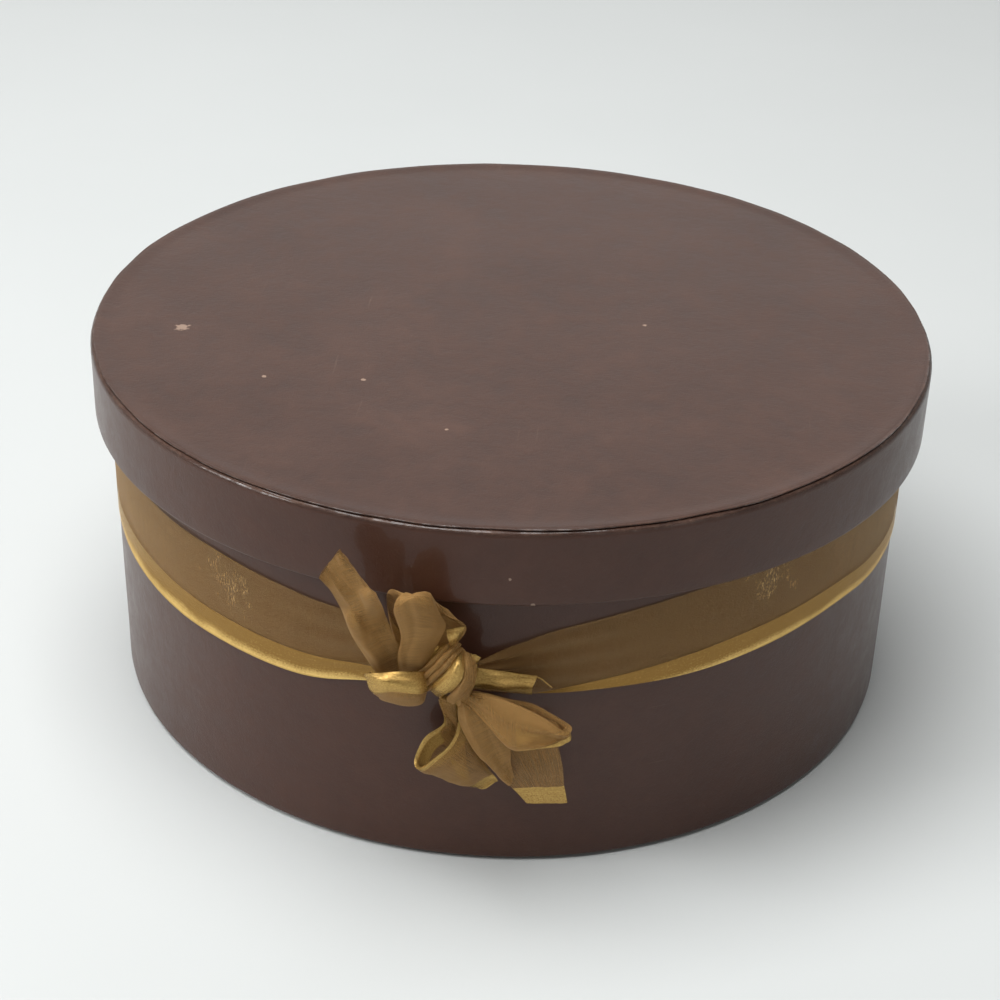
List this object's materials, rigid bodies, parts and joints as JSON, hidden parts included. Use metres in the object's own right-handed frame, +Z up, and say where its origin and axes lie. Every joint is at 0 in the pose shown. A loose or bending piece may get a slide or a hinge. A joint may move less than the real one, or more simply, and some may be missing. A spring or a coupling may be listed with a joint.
{
  "type": "storage box",
  "caption": "Round paper-covered keepsake box with a lift-off lid and a gold organza ribbon tied round it in a small bow.",
  "frame": {"origin": "centre of the underside, where the box rests", "axes": "+Z up along the box's axis, -Y towards the bow at the front, +X to the right seen from the front"},
  "size_m": [0.19, 0.199, 0.0835],
  "materials": {
    "cover_paper": "gloss",
    "lining_paper": "matte",
    "board": "matte",
    "ribbon": "satin"
  },
  "bodies": {
    "base": {"base_wall": "board", "base_floor": "board", "base_wall_paper": "cover_paper", "base_bottom_paper": "cover_paper", "base_wall_lining": "lining_paper", "base_floor_lining": "lining_paper", "ribbon_band": "ribbon", "bow_knot": "ribbon", "bow_tail_upper": "ribbon", "bow_loop_upper": "ribbon", "bow_loop_left": "ribbon", "bow_strap_right": "ribbon", "bow_loop_lower_right": "ribbon", "bow_loop_lower_left": "ribbon", "bow_tail_lower": "ribbon"},
    "lid": {"lid_board": "board", "lid_hoop": "board", "lid_rim_paper": "cover_paper", "lid_top_paper": "cover_paper", "lid_top_lining": "lining_paper", "lid_hoop_lining": "lining_paper"}
  },
  "joints": [
    {"name": "lid_lift", "type": "slide", "parent": "base", "child": "lid", "axis": [0, 0, 1], "range_m": [0, 0.12]}
  ]
}
